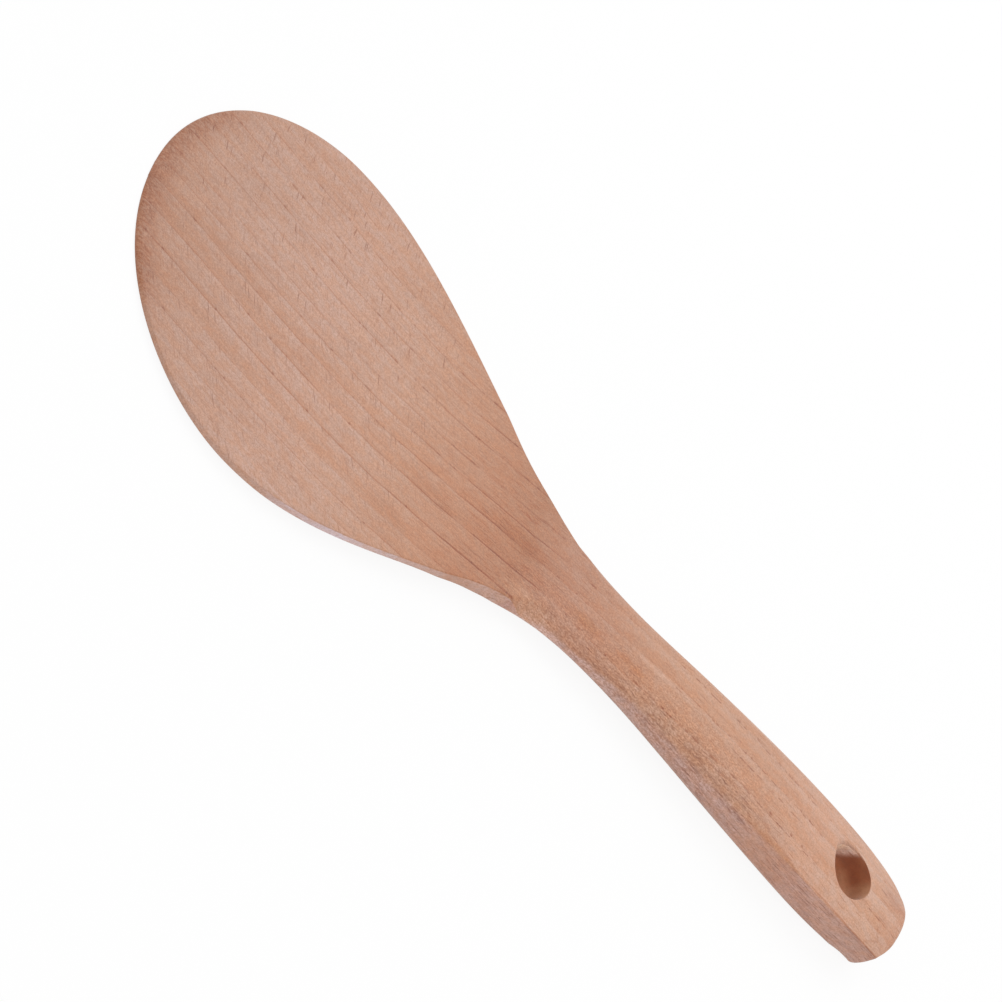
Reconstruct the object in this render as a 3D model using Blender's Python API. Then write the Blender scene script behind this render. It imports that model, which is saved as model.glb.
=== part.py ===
"""A wooden kitchen spatula, carved from one piece of beech.

It lies face up on a table, on its tip and on the flat under its grip.
Metres, +Z up. The origin is under the middle of its length and width, on the
table. The blade points to -X, the grip to +X.
"""
import math

import bmesh
import bpy
from mathutils import Vector
from mathutils.geometry import interpolate_bezier

# Driving dimensions, in metres
LENGTH = 0.300
BLADE_WIDTH = 0.107
FLARE_WIDTH = 0.0580
NECK_WIDTH = 0.0255
GRIP_WIDTH = 0.0292
GRIP_HEIGHT = 0.0142
END_DROP = 0.0016
END_SKEW = 0.0015
TIP_THICKNESS = 0.00112
UNDERSIDE_ARCH = 0.00197

# Slopes: of the blade's face, of its side where it flares, of the top at the end
BLADE_RISE = 0.045
FLARE_SLOPE = -0.519
END_SLOPE = -0.055
ARCH_STEEPNESS = 2.5

# Places on the blade, from its tip
BLADE_WIDEST_AT = 0.0532
FLARE_AT = 0.1221
ARCH_HIGHEST_AT = 0.132
UNDER_ROUND_FROM = 0.135
TOP_ROUND_FROM = 0.1372
SHOULDER_AT = 0.1423
BLADE_FACE_LENGTH = 0.1462

# Places on the grip, from its end
GRIP_WIDEST_AT = LENGTH - 0.042
GRIP_HIGHEST_AT = LENGTH - 0.052
REST_FLAT_FROM = LENGTH - 0.062
OVAL_UNTIL = LENGTH - 0.088
ARRIS_FROM = LENGTH - 0.017
HOLE_AT = LENGTH - 0.0237
NEAR_CORNER_AT = LENGTH - 0.0042
NECK_AT = (FLARE_AT + GRIP_WIDEST_AT) / 2
GRIP_SIDE = (GRIP_WIDEST_AT, GRIP_WIDTH / 2)

# Edges of the blade
TIP_EDGE = 0.0005
BLADE_EDGE = 0.0020
BLADE_EDGE_FROM = 0.055
EDGE_THICKENS_FROM = 0.110
ARRIS_SOFTNESS = 0.0004
TIP_BEVEL_LENGTH = 0.006
TIP_BEVEL_DROP = 0.56 * TIP_THICKNESS
TIP_BEVEL_FADES_BY = 0.018
UNDER_BEVEL_WIDTH = 0.016

# The shoulder, where the blade's side wall runs out in a slanting crease
SHOULDER_LENGTH = 0.0083
SHOULDER_DEPTH = 0.0041
SHOULDER_BOW = 1.4
CREASE_START = 0.002
CREASE_FADE = 0.012

# Rounding of the grip, as shares of its half width and of its height
TOP_ROUND_LENGTH = 0.051
UNDER_ROUND_LENGTH = 0.030
OVAL_WIDTH_SHARE = 0.38
OVAL_HEIGHT_SHARE = 0.47
END_WIDTH_SHARE = 0.07
END_HEIGHT_SHARE = 0.053
UNDER_WIDTH_SHARE = 0.61
UNDER_HEIGHT_SHARE = 0.40
UNDER_END_WIDTH_SHARE = 0.33
UNDER_END_HEIGHT_SHARE = 0.27
END_SWEEP_SHARE = 0.72
END_SWEEP_LENGTH = 0.010
GRIP_CROWN = 0.00165
OVAL_CROWN_SHARE = 0.15
CROWN_FULL_AT_SHARE = 0.74

# Hanging hole, and its rubbed rim as steps out and up, in shares of the rim
HOLE_DIAMETER = 0.0146
HOLE_RIM = 0.0006
RIM_STEPS = ((1.0, 0.6), (0.55, 0.0), (0.15, -0.55), (0.0, -1.2))

# The end's near corner is left angular, and its far one is rubbed round
NEAR_CORNER_INSET = 0.00165
NEAR_CORNER_SLOPE = 0.02
NEAR_END_SLOPE = -1.6

# Fullness of each bend: the reach of its two handles, as shares of its span
TIP_FULLNESS = (0.642, 0.45)
BLADE_SIDE_FULLNESS = (0.341, 0.371)
SHOULDER_FULLNESS = (0.116, 0.709)
SWELL_FULLNESS = (0.24, 0.56)
NEAR_SIDE_FULLNESS = (0.667, 0.38)
NEAR_END_FULLNESS = (0.50, 0.45)
FAR_END_FULLNESS = (1.13, 0.783)
GRIP_BOW_FULLNESS = (0.36, 0.51)
END_FALL_FULLNESS = (0.30, 0.30)
ARCH_RISE_FULLNESS = (0.30, 0.34)
ARCH_FALL_FULLNESS = (0.47, 0.33)

# What the thin tip leaves for its corners, and the inset that gives the ends a width
CORNER_LIMIT = 0.65
BEVEL_LIMIT = 0.93
CAP_INSET = 0.00006

# Fineness of the facets
RINGS = 76
TOP_STEPS = 4
CORNER_STEPS = 5
UNDER_STEPS = 6
HOLE_SIDES = 48
CURVE_STEPS = 60
UPRIGHT = None


def handle(span, slope, share):
    """A bend's handle at one end: along its slope, or straight up."""
    if slope is UPRIGHT:
        return Vector((0.0, span.y * share))
    return Vector((span.x * share, slope * span.x * share))


def bend(start, start_slope, end, end_slope, fullness):
    """Points of one smooth bend between two places, each with its slope."""
    first = Vector(start)
    last = Vector(end)
    leave = first + handle(last - first, start_slope, fullness[0])
    arrive = last - handle(last - first, end_slope, fullness[1])
    points = interpolate_bezier(first, leave, arrive, last, CURVE_STEPS)
    return [(point.x, point.y) for point in points]


def along(curve, x):
    """The height of a curve over x, between its points."""
    for (x0, y0), (x1, y1) in zip(curve, curve[1:]):
        if x <= x1:
            share = (x - x0) / (x1 - x0) if x1 > x0 else 0.0
            return y0 + (y1 - y0) * max(share, 0.0)
    return curve[-1][1]


def ramp(x, start, end):
    """Rises smoothly from 0 at start to 1 at end."""
    share = min(max((x - start) / (end - start), 0.0), 1.0)
    return share * share * (3.0 - 2.0 * share)


def blend(a, b, share):
    return a + (b - a) * share


def outline():
    """One side of the sawn outline, from the tip to the widest place of the grip."""
    tip = (0.0, 0.0)
    widest = (BLADE_WIDEST_AT, BLADE_WIDTH / 2)
    flare = (FLARE_AT, FLARE_WIDTH / 2)
    neck = (NECK_AT, NECK_WIDTH / 2)
    side = bend(tip, UPRIGHT, widest, 0.0, TIP_FULLNESS)
    side += bend(widest, 0.0, flare, FLARE_SLOPE, BLADE_SIDE_FULLNESS)[1:]
    side += bend(flare, FLARE_SLOPE, neck, 0.0, SHOULDER_FULLNESS)[1:]
    side += bend(neck, 0.0, GRIP_SIDE, 0.0, SWELL_FULLNESS)[1:]
    return side


def near_outline():
    """The near side, with an angular corner and a slanting cut at the end."""
    corner = (NEAR_CORNER_AT, GRIP_WIDTH / 2 - NEAR_CORNER_INSET)
    end = (LENGTH, END_SKEW)
    side = outline()
    side += bend(GRIP_SIDE, 0.0, corner, NEAR_CORNER_SLOPE, NEAR_SIDE_FULLNESS)[1:]
    side += bend(corner, NEAR_END_SLOPE, end, UPRIGHT, NEAR_END_FULLNESS)[1:]
    return side


def far_outline():
    """The far side, rounded in one sweep to the end."""
    return outline() + bend(GRIP_SIDE, 0.0, (LENGTH, -END_SKEW), UPRIGHT, FAR_END_FULLNESS)[1:]


def top_profile():
    """Height of the top along the middle: a flat blade, a bow over the grip."""
    tip = (0.0, TIP_THICKNESS)
    face_end = (BLADE_FACE_LENGTH, TIP_THICKNESS + BLADE_RISE * BLADE_FACE_LENGTH)
    highest = (GRIP_HIGHEST_AT, GRIP_HEIGHT)
    end = (LENGTH, GRIP_HEIGHT - END_DROP)
    profile = [tip]
    profile += bend(face_end, BLADE_RISE, highest, 0.0, GRIP_BOW_FULLNESS)
    profile += bend(highest, 0.0, end, END_SLOPE, END_FALL_FULLNESS)[1:]
    return profile


def underside_profile():
    """Height of the underside along the middle: a low arch between two rests."""
    tip = (0.0, 0.0)
    tip_slope = ARCH_STEEPNESS * UNDERSIDE_ARCH / ARCH_HIGHEST_AT
    highest = (ARCH_HIGHEST_AT, UNDERSIDE_ARCH)
    rest = (REST_FLAT_FROM, 0.0)
    profile = bend(tip, tip_slope, highest, 0.0, ARCH_RISE_FULLNESS)
    profile += bend(highest, 0.0, rest, 0.0, ARCH_FALL_FULLNESS)[1:]
    profile.append((LENGTH, 0.0))
    return profile


NEAR_SIDE = near_outline()
FAR_SIDE = far_outline()
TOP = top_profile()
UNDERSIDE = underside_profile()


def top_corner(x, half, height, rounded, squared):
    """Width and height of the rounding along the top's edge."""
    near_tip = max(1.0 - x / TIP_BEVEL_FADES_BY, 0.0)
    cut = min(max((x - SHOULDER_AT) / SHOULDER_LENGTH, 0.0), 1.0) ** SHOULDER_BOW
    oval = max(SHOULDER_DEPTH, height * OVAL_HEIGHT_SHARE)
    width = half * rounded * blend(OVAL_WIDTH_SHARE, END_WIDTH_SHARE, squared)
    width = max(width, ARRIS_SOFTNESS + TIP_BEVEL_LENGTH * near_tip)
    depth = cut * blend(oval, height * END_HEIGHT_SHARE, squared)
    depth = max(depth, ARRIS_SOFTNESS + TIP_BEVEL_DROP * near_tip)
    return min(width, half * CORNER_LIMIT), min(depth, height * CORNER_LIMIT)


def under_corner(x, half, height, side_height, squared):
    """Width and height of the rounding, or of the blade's bevel, underneath."""
    edge = blend(TIP_EDGE, BLADE_EDGE, min(x / BLADE_EDGE_FROM, 1.0))
    edge = blend(edge, side_height, ramp(x, EDGE_THICKENS_FROM, SHOULDER_AT))
    rounded = ramp(x, UNDER_ROUND_FROM, UNDER_ROUND_FROM + UNDER_ROUND_LENGTH)
    width_share = blend(UNDER_WIDTH_SHARE, UNDER_END_WIDTH_SHARE, squared)
    height_share = blend(UNDER_HEIGHT_SHARE, UNDER_END_HEIGHT_SHARE, squared)
    swept = ramp(x, NEAR_CORNER_AT - END_SWEEP_LENGTH, NEAR_CORNER_AT)
    height_share = blend(height_share, END_SWEEP_SHARE, swept)
    width = blend(UNDER_BEVEL_WIDTH, width_share * half, rounded)
    depth = blend(side_height - edge, height_share * height, rounded)
    width = min(width, half * BEVEL_LIMIT)
    depth = min(max(depth, side_height * (1 - BEVEL_LIMIT)), side_height * BEVEL_LIMIT)
    return width, depth


def section(x):
    """The cross-section at x, as the values that draw its half outline."""
    inside = min(max(x, CAP_INSET), LENGTH - CAP_INSET)
    near = along(NEAR_SIDE, inside)
    far = along(FAR_SIDE, inside)
    half = (near + far) / 2
    middle = (far - near) / 2
    tip_bevel = max(1.0 - x / TIP_BEVEL_LENGTH, 0.0)
    top = along(TOP, x) - TIP_BEVEL_DROP * tip_bevel ** 2
    bottom = along(UNDERSIDE, x)
    rounded = ramp(x, TOP_ROUND_FROM, TOP_ROUND_FROM + TOP_ROUND_LENGTH)
    squared = ramp(x, OVAL_UNTIL, ARRIS_FROM)
    crowned = blend(OVAL_CROWN_SHARE * rounded, 1.0, squared)
    crown = GRIP_CROWN * crowned * min(2 * half / (CROWN_FULL_AT_SHARE * GRIP_WIDTH), 1.0)
    height = top - bottom
    corner = top_corner(x, half, height, rounded, squared)
    under = under_corner(x, half, height, height - crown - corner[1], squared)
    return half, middle, top, bottom, crown, corner, under


def roundness(x):
    """How round the top's edge is: 1, and 0 where the shoulder is cut flat."""
    cut_end = SHOULDER_AT + SHOULDER_LENGTH
    started = ramp(x, SHOULDER_AT, SHOULDER_AT + CREASE_START)
    return 1.0 - started * (1.0 - ramp(x, cut_end, cut_end + CREASE_FADE))


def half_ring(x):
    """Half the cross-section, from the middle of the top to the flat underneath."""
    half, middle, top, bottom, crown, corner, under = section(x)
    round_share = roundness(x)
    points = []
    for step in range(TOP_STEPS + 1):
        share = step / TOP_STEPS
        points.append((share * (half - corner[0]), top - crown * share ** 2))
    for step in range(1, CORNER_STEPS + 1):
        share = step / CORNER_STEPS
        turn = math.radians(90) * share
        out = half - corner[0] * (1 - blend(share, math.sin(turn), round_share))
        drop = corner[1] * blend(share, 1 - math.cos(turn), round_share)
        points.append((out, top - crown - drop))
    for step in range(UNDER_STEPS + 1):
        turn = math.radians(90) * step / UNDER_STEPS
        out = half - under[0] * (1 - math.cos(turn))
        points.append((out, bottom + under[1] * (1 - math.sin(turn))))
    return middle, points


def ring(x):
    """The closed cross-section at x, in the spatula's own frame."""
    middle, points = half_ring(x)
    far = [Vector((x - LENGTH / 2, middle + y, z)) for y, z in points]
    near = [Vector((x - LENGTH / 2, middle - y, z)) for y, z in points[1:]]
    return far + near[::-1]


def loft_body(name):
    """The carved blank: cross-sections along the length, skinned and capped."""
    mesh = bmesh.new()
    places = [LENGTH * (1 - math.cos(math.pi * index / RINGS)) / 2 for index in range(RINGS + 1)]
    corner_ring = min(range(RINGS), key=lambda index: abs(places[index] - NEAR_CORNER_AT))
    places[corner_ring] = NEAR_CORNER_AT
    loops = [[mesh.verts.new(point) for point in ring(x)] for x in places]
    for back, front in zip(loops, loops[1:]):
        for index, corner in enumerate(back):
            after = (index + 1) % len(back)
            mesh.faces.new((corner, front[index], front[after], back[after]))
    mesh.faces.new(loops[0])
    mesh.faces.new(loops[-1][::-1])
    bmesh.ops.recalc_face_normals(mesh, faces=mesh.faces)
    return add_object(name, mesh)


def surface_height(x, y):
    """Height of the grip's top at a point within its crown."""
    half, middle, top, _, crown, corner, _ = section(x)
    share = (y - middle) / (half - corner[0])
    return top - crown * share ** 2


def drill_column(mesh, turn):
    """One upright line of the drill, following the crowned top at its rim."""
    radius = HOLE_DIAMETER / 2
    rim_top = surface_height(HOLE_AT + radius * math.cos(turn), radius * math.sin(turn))
    steps = [(HOLE_RIM * out, HOLE_RIM * up) for out, up in RIM_STEPS]
    levels = [(HOLE_RIM, rim_top + GRIP_HEIGHT)]
    levels += [(out, rim_top + up) for out, up in steps]
    levels += [(out, -up) for out, up in reversed(steps)]
    levels.append((HOLE_RIM, -GRIP_HEIGHT))
    column = []
    for out, z in levels:
        reach = radius + out
        x = HOLE_AT - LENGTH / 2 + reach * math.cos(turn)
        column.append(mesh.verts.new((x, reach * math.sin(turn), z)))
    return column


def hole_drill(name):
    """The drill: straight through, opening out at both rims by the same small round."""
    mesh = bmesh.new()
    columns = [drill_column(mesh, math.tau * side / HOLE_SIDES) for side in range(HOLE_SIDES)]
    for index, column in enumerate(columns):
        after = columns[(index + 1) % HOLE_SIDES]
        for level in range(len(column) - 1):
            mesh.faces.new((column[level], column[level + 1], after[level + 1], after[level]))
    mesh.faces.new([column[0] for column in columns])
    mesh.faces.new([column[-1] for column in reversed(columns)])
    bmesh.ops.recalc_face_normals(mesh, faces=mesh.faces)
    drill = add_object(name, mesh)
    drill.hide_render = True
    drill.display_type = "WIRE"
    return drill


def add_object(name, mesh):
    data = bpy.data.meshes.new(name)
    mesh.to_mesh(data)
    mesh.free()
    obj = bpy.data.objects.new(name, data)
    bpy.context.scene.collection.objects.link(obj)
    return obj


def beech_material():
    """Bare, sanded beech: light pinkish tan and matt."""
    material = bpy.data.materials.new("beech")
    material.use_nodes = True
    shader = material.node_tree.nodes["Principled BSDF"]
    shader.inputs["Base Color"].default_value = (0.56, 0.32, 0.19, 1.0)
    shader.inputs["Roughness"].default_value = 0.62
    shader.inputs["Metallic"].default_value = 0.0
    return material


def carve_spatula():
    """The whole spatula: the carved body with its hanging hole drilled through."""
    body = loft_body("spatula")
    body.data.materials.append(beech_material())
    drilling = body.modifiers.new("hanging hole", "BOOLEAN")
    drilling.operation = "DIFFERENCE"
    drilling.solver = "EXACT"
    drilling.object = hole_drill("hole_drill")
    body.data.shade_smooth()
    body.data.set_sharp_from_angle(angle=math.radians(35))


for old in list(bpy.data.objects):
    bpy.data.objects.remove(old)
carve_spatula()
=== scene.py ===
import math

import bpy
from mathutils import Matrix, Vector
from mathutils.geometry import interpolate_bezier


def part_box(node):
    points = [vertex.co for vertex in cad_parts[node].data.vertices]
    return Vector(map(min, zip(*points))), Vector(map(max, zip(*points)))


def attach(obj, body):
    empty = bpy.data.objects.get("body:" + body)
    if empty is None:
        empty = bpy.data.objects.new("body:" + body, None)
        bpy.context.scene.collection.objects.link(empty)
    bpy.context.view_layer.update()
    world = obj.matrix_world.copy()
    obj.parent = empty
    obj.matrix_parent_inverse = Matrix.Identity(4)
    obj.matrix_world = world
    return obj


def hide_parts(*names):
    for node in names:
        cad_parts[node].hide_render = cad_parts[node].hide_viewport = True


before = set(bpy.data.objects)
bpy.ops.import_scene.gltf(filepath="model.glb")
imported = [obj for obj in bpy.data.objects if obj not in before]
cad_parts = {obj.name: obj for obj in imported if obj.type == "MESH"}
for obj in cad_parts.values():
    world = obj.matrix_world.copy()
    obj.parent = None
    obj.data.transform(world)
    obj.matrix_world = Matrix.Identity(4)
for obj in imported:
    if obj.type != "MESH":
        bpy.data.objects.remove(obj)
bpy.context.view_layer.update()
low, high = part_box("spatula")


# The camera stands far off on the near left and looks down on the spatula, turned so
# that the blade lies at the upper left of the frame and the grip at the lower right.
FRAME_PIXELS = 1002
FOCAL_PIXELS = 5925.14
SENSOR_WIDTH = 36.0
VIEW_DISTANCE = 1.5
azimuth = math.radians(-33.1642)
elevation = math.radians(37.4423)
roll = math.radians(69.1624)
aim = Vector((-0.022290, 0.000494, 0.010407))

back = Vector((
    math.sin(azimuth) * math.cos(elevation),
    -math.cos(azimuth) * math.cos(elevation),
    math.sin(elevation),
))
level = Vector((0, 0, 1)).cross(back).normalized()
upright = back.cross(level)
right = math.cos(roll) * level + math.sin(roll) * upright
up = math.cos(roll) * upright - math.sin(roll) * level

bpy.ops.object.select_all(action="DESELECT")
bpy.ops.object.camera_add()
camera = bpy.context.object
camera.name = "camera"
camera.matrix_world = (
    Matrix.Translation(aim + back * VIEW_DISTANCE) @ Matrix((right, up, back)).transposed().to_4x4()
)
camera.data.sensor_width = SENSOR_WIDTH
camera.data.lens = SENSOR_WIDTH * FOCAL_PIXELS / FRAME_PIXELS
camera.data.clip_end = 20.0
bpy.context.scene.camera = camera
bpy.context.scene.view_settings.view_transform = "Standard"


# The spatula lies on a white table. A wide soft light hangs above its far side, a
# smaller one fills in from the near left, and the room adds an even white light.
FLOOR_SIZE = 6.0
FLOOR_GAP = 0.0001
FLOOR_SHADOW = 0.09
ROOM_LIGHT = 0.76

bpy.ops.mesh.primitive_plane_add(size=FLOOR_SIZE, location=(0, 0, -FLOOR_GAP))
floor = bpy.context.object
floor.name = "floor"
bpy.ops.object.transform_apply(location=True, rotation=True, scale=True)

white = bpy.data.materials.new("white_table")
white.use_nodes = True
table = white.node_tree
table.nodes["Principled BSDF"].inputs["Base Color"].default_value = (0.96, 0.96, 0.96, 1.0)
table.nodes["Principled BSDF"].inputs["Roughness"].default_value = 0.9
table.nodes["Principled BSDF"].inputs["Specular IOR Level"].default_value = 0.0
seen = table.nodes.new("ShaderNodeLightPath")
glow = table.nodes.new("ShaderNodeEmission")
glow.inputs["Strength"].default_value = 1.0
either = table.nodes.new("ShaderNodeMath")
either.operation = "MAXIMUM"
table.links.new(seen.outputs["Is Camera Ray"], either.inputs[0])
table.links.new(seen.outputs["Is Glossy Ray"], either.inputs[1])
any_view = table.nodes.new("ShaderNodeMath")
any_view.operation = "MAXIMUM"
table.links.new(either.outputs[0], any_view.inputs[0])
table.links.new(seen.outputs["Is Transmission Ray"], any_view.inputs[1])
share = table.nodes.new("ShaderNodeMath")
share.operation = "MULTIPLY"
share.inputs[1].default_value = 1.0 - FLOOR_SHADOW
table.links.new(any_view.outputs[0], share.inputs[0])
mix = table.nodes.new("ShaderNodeMixShader")
table.links.new(share.outputs[0], mix.inputs["Fac"])
table.links.new(table.nodes["Principled BSDF"].outputs[0], mix.inputs[1])
table.links.new(glow.outputs[0], mix.inputs[2])
table.links.new(mix.outputs[0], table.nodes["Material Output"].inputs["Surface"])
floor.data.materials.append(white)

room = bpy.data.worlds.new("room")
room.use_nodes = True
bpy.context.scene.world = room
air = room.node_tree
air.nodes["Background"].inputs["Color"].default_value = (1.0, 1.0, 1.0, 1.0)
looked_at = air.nodes.new("ShaderNodeLightPath")
last_view = looked_at.outputs["Is Camera Ray"]
for ray in ("Is Glossy Ray", "Is Transmission Ray"):
    larger = air.nodes.new("ShaderNodeMath")
    larger.operation = "MAXIMUM"
    air.links.new(last_view, larger.inputs[0])
    air.links.new(looked_at.outputs[ray], larger.inputs[1])
    last_view = larger.outputs[0]
daylight = air.nodes.new("ShaderNodeMapRange")
daylight.inputs["To Min"].default_value = ROOM_LIGHT
daylight.inputs["To Max"].default_value = 1.0
air.links.new(last_view, daylight.inputs["Value"])
air.links.new(daylight.outputs["Result"], air.nodes["Background"].inputs["Strength"])


def soft_light(name, place, size, power):
    """A square soft light that faces the middle of the spatula."""
    bpy.ops.object.select_all(action="DESELECT")
    bpy.ops.object.light_add(type="AREA", location=place)
    lamp = bpy.context.object
    lamp.name = name
    lamp.data.shape = "SQUARE"
    lamp.data.size = size
    lamp.data.energy = power
    lamp.rotation_euler = Vector(place).to_track_quat("Z", "Y").to_euler()


soft_light("high_light", (0.35, 1.05, 1.45), 1.2, 10.0)
soft_light("fill_light", (-0.9, -0.7, 0.9), 0.8, 1.0)


# The spatula is one piece of beech. Its outline is sawn from a board, its long profile
# is planed, and the grip is rounded by hand from the shoulders to its end. It lies on
# its tip and on the flat under its grip, blade to -X, and x below starts at the tip.
LENGTH = high.x - low.x
BLADE_WIDTH = high.y - low.y
GRIP_HEIGHT = high.z - low.z
FLARE_WIDTH = 0.0580
NECK_WIDTH = 0.0255
GRIP_WIDTH = 0.0292
END_DROP = 0.0016
END_SKEW = 0.0015
TIP_THICKNESS = 0.00112
UNDERSIDE_ARCH = 0.00197
BLADE_RISE = 0.045
FLARE_SLOPE = -0.519
END_SLOPE = -0.055
ARCH_STEEPNESS = 2.5

BLADE_WIDEST_AT = 0.0532
FLARE_AT = 0.1221
ARCH_HIGHEST_AT = 0.132
UNDER_ROUND_FROM = 0.135
TOP_ROUND_FROM = 0.1372
SHOULDER_AT = 0.1423
BLADE_FACE_LENGTH = 0.1462
GRIP_WIDEST_AT = LENGTH - 0.042
GRIP_HIGHEST_AT = LENGTH - 0.052
REST_FLAT_FROM = LENGTH - 0.062
OVAL_UNTIL = LENGTH - 0.088
ARRIS_FROM = LENGTH - 0.017
NEAR_ARRIS_FROM = LENGTH - 0.033
NEAR_CORNER_AT = LENGTH - 0.0042
NEAR_CORNER_INSET = 0.00165
NEAR_CORNER_SLOPE = 0.02
END_CUT_SLOPE = -1.6
NECK_AT = (FLARE_AT + GRIP_WIDEST_AT) / 2

# How far each bend holds on to its direction at its start and at its end
TIP_FULLNESS = (0.642, 0.45)
BLADE_FULLNESS = (0.341, 0.371)
SHOULDER_FULLNESS = (0.116, 0.709)
NECK_FULLNESS = (0.24, 0.56)
NEAR_GRIP_FULLNESS = (0.667, 0.38)
END_CUT_FULLNESS = (0.50, 0.45)
FAR_GRIP_FULLNESS = (1.13, 0.783)
TOP_CLIMB_FULLNESS = (0.36, 0.51)
TOP_END_FULLNESS = (0.30, 0.30)
ARCH_RISE_FULLNESS = (0.30, 0.34)
ARCH_FALL_FULLNESS = (0.47, 0.33)

TIP_EDGE = 0.0005
BLADE_EDGE = 0.0020
BLADE_EDGE_FROM = 0.055
EDGE_THICKENS_FROM = 0.110
ARRIS_SOFTNESS = 0.0004
TIP_BEVEL_LENGTH = 0.006
TIP_BEVEL_DROP = 0.56 * TIP_THICKNESS
TIP_BEVEL_FADES_BY = 0.018
UNDER_BEVEL_WIDTH = 0.016

SHOULDER_LENGTH = 0.0083
SHOULDER_DEPTH = 0.0041
SHOULDER_BOW = 1.4
CREASE_START = 0.002
CREASE_FADE = 0.012
CREASE_HOLLOW = 1.5

TOP_ROUND_LENGTH = 0.051
NEAR_ROUND_LENGTH = 0.035
UNDER_ROUND_LENGTH = 0.030
OVAL_WIDTH_SHARE = 0.38
NEAR_WIDTH_SHARE = 0.75
NEAR_ARRIS_SHARE = 0.035
OVAL_HEIGHT_SHARE = 0.47
END_WIDTH_SHARE = 0.07
END_HEIGHT_SHARE = 0.053
UNDER_WIDTH_SHARE = 0.61
UNDER_HEIGHT_SHARE = 0.40
UNDER_END_WIDTH_SHARE = 0.33
UNDER_END_HEIGHT_SHARE = 0.27
END_SWEEP_SHARE = 0.72
END_SWEEP_LENGTH = 0.010
GRIP_CROWN = 0.00165
OVAL_CROWN_SHARE = 0.15
CROWN_FULL_AT_SHARE = 0.74
CORNER_LIMIT = 0.65
BEVEL_LIMIT = 0.93
CAP_INSET = 0.00006

SLICES = 520
TOP_STEPS = 16
CORNER_STEPS = 16
UNDER_STEPS = 10
FLAT_STEPS = 6
CURVE_STEPS = 240
UPRIGHT = None


def handle(span, slope, share):
    """A bend's handle at one end: along its slope, or straight up."""
    if slope is UPRIGHT:
        return Vector((0.0, span.y * share))
    return Vector((span.x * share, slope * span.x * share))


def bend(start, start_slope, end, end_slope, fullness):
    """Points of one smooth bend between two places, each with its slope."""
    first = Vector(start)
    last = Vector(end)
    leave = first + handle(last - first, start_slope, fullness[0])
    arrive = last - handle(last - first, end_slope, fullness[1])
    points = interpolate_bezier(first, leave, arrive, last, CURVE_STEPS)
    return [(point.x, point.y) for point in points]


def along(curve, x):
    """The height of a curve over x, between its points."""
    for (x0, y0), (x1, y1) in zip(curve, curve[1:]):
        if x <= x1:
            share = (x - x0) / (x1 - x0) if x1 > x0 else 0.0
            return y0 + (y1 - y0) * max(share, 0.0)
    return curve[-1][1]


def ramp(x, start, end):
    """Rises smoothly from 0 at start to 1 at end."""
    share = min(max((x - start) / (end - start), 0.0), 1.0)
    return share * share * (3.0 - 2.0 * share)


def blend(a, b, share):
    return a + (b - a) * share


def sawn_outline():
    """One side of the outline, from the tip to the widest place of the grip."""
    widest = (BLADE_WIDEST_AT, BLADE_WIDTH / 2)
    flare = (FLARE_AT, FLARE_WIDTH / 2)
    neck = (NECK_AT, NECK_WIDTH / 2)
    side = bend((0.0, 0.0), UPRIGHT, widest, 0.0, TIP_FULLNESS)
    side += bend(widest, 0.0, flare, FLARE_SLOPE, BLADE_FULLNESS)[1:]
    side += bend(flare, FLARE_SLOPE, neck, 0.0, SHOULDER_FULLNESS)[1:]
    side += bend(neck, 0.0, (GRIP_WIDEST_AT, GRIP_WIDTH / 2), 0.0, NECK_FULLNESS)[1:]
    return side


def near_outline():
    """The near side, with an angular corner and a slanting cut at the end."""
    grip = (GRIP_WIDEST_AT, GRIP_WIDTH / 2)
    corner = (NEAR_CORNER_AT, GRIP_WIDTH / 2 - NEAR_CORNER_INSET)
    side = sawn_outline()
    side += bend(grip, 0.0, corner, NEAR_CORNER_SLOPE, NEAR_GRIP_FULLNESS)[1:]
    side += bend(corner, END_CUT_SLOPE, (LENGTH, END_SKEW), UPRIGHT, END_CUT_FULLNESS)[1:]
    return side


def far_outline():
    """The far side, rounded in one sweep to the end."""
    grip = (GRIP_WIDEST_AT, GRIP_WIDTH / 2)
    end = (LENGTH, -END_SKEW)
    return sawn_outline() + bend(grip, 0.0, end, UPRIGHT, FAR_GRIP_FULLNESS)[1:]


def planed_top():
    """Height of the top along the middle: a flat blade, a bow over the grip."""
    face_end = (BLADE_FACE_LENGTH, TIP_THICKNESS + BLADE_RISE * BLADE_FACE_LENGTH)
    highest = (GRIP_HIGHEST_AT, GRIP_HEIGHT)
    end = (LENGTH, GRIP_HEIGHT - END_DROP)
    profile = [(0.0, TIP_THICKNESS)]
    profile += bend(face_end, BLADE_RISE, highest, 0.0, TOP_CLIMB_FULLNESS)
    profile += bend(highest, 0.0, end, END_SLOPE, TOP_END_FULLNESS)[1:]
    return profile


def planed_underside():
    """Height of the underside along the middle: a low arch between two rests."""
    tip_slope = ARCH_STEEPNESS * UNDERSIDE_ARCH / ARCH_HIGHEST_AT
    highest = (ARCH_HIGHEST_AT, UNDERSIDE_ARCH)
    rest = (REST_FLAT_FROM, 0.0)
    profile = bend((0.0, 0.0), tip_slope, highest, 0.0, ARCH_RISE_FULLNESS)
    profile += bend(highest, 0.0, rest, 0.0, ARCH_FALL_FULLNESS)[1:]
    profile.append((LENGTH, 0.0))
    return profile


near_side = near_outline()
far_side = far_outline()
top_line = planed_top()
under_line = planed_underside()


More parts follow.
